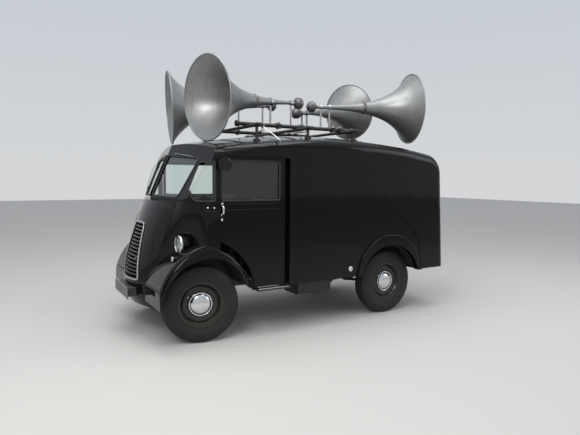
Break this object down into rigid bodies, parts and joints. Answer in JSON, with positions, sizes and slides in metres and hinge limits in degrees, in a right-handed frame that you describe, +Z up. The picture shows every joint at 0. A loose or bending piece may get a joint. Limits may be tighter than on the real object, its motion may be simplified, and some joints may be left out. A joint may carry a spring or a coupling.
{
  "type": "loudspeaker van",
  "caption": "Small rounded forward-control delivery van with sliding cab doors, hinged rear doors and long horn loudspeakers on a roof rack.",
  "frame": {"origin": "on the ground under the middle of the van's length", "axes": "+X forward, +Y to the van's left, +Z up"},
  "size_m": [3.604, 2.0586, 2.7735],
  "materials": {
    "black_paint": "deep gloss black coachwork",
    "window_glass": "clear flat glass",
    "silver_trim": "silver painted slats",
    "chrome": "polished",
    "plate": "blank black plate",
    "red_lens": "red lens",
    "black_trim": "satin black",
    "bright_steel": "bright steel",
    "horn_metal": "dull silver spun sheet",
    "chassis_black": "satin chassis black",
    "exhaust_steel": "heat-stained steel",
    "engine_iron": "painted iron",
    "cab_grey": "satin dark grey",
    "floor_boards": "varnished boards",
    "seat_leather": "dark leathercloth",
    "wheel_plastic": "moulded rim",
    "wheel_steel": "gloss black with a bright hub cap",
    "tyre": "matte black rubber"
  },
  "bodies": {
    "root": {"cab_front": "black_paint", "chassis_frame": "chassis_black", "dashboard": "cab_grey", "driver_cushions": "seat_leather", "engine_cover": "cab_grey", "exhaust": "exhaust_steel", "floor": "floor_boards", "front_axle": "chassis_black", "front_wing_left": "black_paint", "front_wing_right": "black_paint", "fuel_tank": "chassis_black", "grille": "silver_trim", "headlamps": "chrome", "horn_drivers": "horn_metal", "horn_front_left": "horn_metal", "horn_front_right": "horn_metal", "horn_rear_left": "horn_metal", "horn_rear_right": "horn_metal", "horn_stands": "bright_steel", "leaf_springs": "chassis_black", "mirrors": "black_trim", "nose_panel": "black_paint", "number_plates": "plate", "passenger_cushions": "seat_leather", "power_unit": "engine_iron", "prop_shaft": "chassis_black", "quarter_glass": "window_glass", "rear_axle": "chassis_black", "rear_lamps": "red_lens", "roof_panel": "black_paint", "roof_rack": "black_trim", "seat_frames": "chassis_black", "side_lamps": "chrome", "side_panel_left": "black_paint", "side_panel_right": "black_paint", "steering_column": "chassis_black", "step_rails": "black_trim", "windscreen_glass": "window_glass", "wipers": "bright_steel"},
    "door_left": {"door_left": "black_paint", "door_glass_left": "window_glass"},
    "door_right": {"door_right": "black_paint", "door_glass_right": "window_glass"},
    "rear_door_left": {"rear_door_left": "black_paint", "rear_glass_left": "window_glass"},
    "rear_door_right": {"rear_door_right": "black_paint", "rear_glass_right": "window_glass"},
    "steering_wheel": {"steering_wheel": "wheel_plastic"},
    "knuckle_left": {"knuckle_left": "chassis_black"},
    "knuckle_right": {"knuckle_right": "chassis_black"},
    "wheel_front_left": {"wheel_front_left": "wheel_steel", "tyre_front_left": "tyre"},
    "wheel_front_right": {"wheel_front_right": "wheel_steel", "tyre_front_right": "tyre"},
    "wheel_rear_left": {"wheel_rear_left": "wheel_steel", "tyre_rear_left": "tyre"},
    "wheel_rear_right": {"wheel_rear_right": "wheel_steel", "tyre_rear_right": "tyre"}
  },
  "joints": [
    {"name": "door_slide_left", "type": "slide", "parent": "root", "child": "door_left", "axis": [-1, 0, 0], "range_m": [0, 0.62]},
    {"name": "door_slide_right", "type": "slide", "parent": "root", "child": "door_right", "axis": [-1, 0, 0], "range_m": [0, 0.62]},
    {"name": "rear_door_hinge_left", "type": "hinge", "parent": "root", "child": "rear_door_left", "pos_m": [-1.792, 0.592, 0.48], "axis": [-0.0648, 0, -0.9979], "range_deg": [0, 105]},
    {"name": "rear_door_hinge_right", "type": "hinge", "parent": "root", "child": "rear_door_right", "pos_m": [-1.792, -0.592, 0.48], "axis": [0.0648, 0, 0.9979], "range_deg": [0, 105]},
    {"name": "steer_left", "type": "hinge", "parent": "root", "child": "knuckle_left", "pos_m": [1.232, 0.6, 0.355], "axis": [0, 0, 1], "range_deg": [-22, 42]},
    {"name": "steer_right", "type": "hinge", "parent": "root", "child": "knuckle_right", "pos_m": [1.232, -0.6, 0.355], "axis": [0, 0, 1], "range_deg": [-22.5, 42.5]},
    {"name": "steering_turn", "type": "hinge", "parent": "root", "child": "steering_wheel", "pos_m": [1.042, -0.375, 1.235], "axis": [-0.445, -0.0524, 0.894], "range_deg": [-315, 595]},
    {"name": "front_wheel_spin_left", "type": "hinge", "parent": "knuckle_left", "child": "wheel_front_left", "pos_m": [1.24416, 0.66894, 0.355], "axis": [0.1736, 0.9848, 0], "continuous": true},
    {"name": "front_wheel_spin_right", "type": "hinge", "parent": "knuckle_right", "child": "wheel_front_right", "pos_m": [1.21984, -0.66894, 0.355], "axis": [0.1736, 0.9848, 0], "continuous": true},
    {"name": "rear_wheel_spin_left", "type": "hinge", "parent": "root", "child": "wheel_rear_left", "pos_m": [-0.952, 0.67, 0.355], "axis": [0, 1, 0], "continuous": true},
    {"name": "rear_wheel_spin_right", "type": "hinge", "parent": "root", "child": "wheel_rear_right", "pos_m": [-0.952, -0.67, 0.355], "axis": [0, 1, 0], "continuous": true}
  ],
  "couplings": [
    {"joint": "steer_right", "follows": "steer_left", "ratio": 1},
    {"joint": "steering_turn", "follows": "steer_left", "ratio": 14}
  ]
}
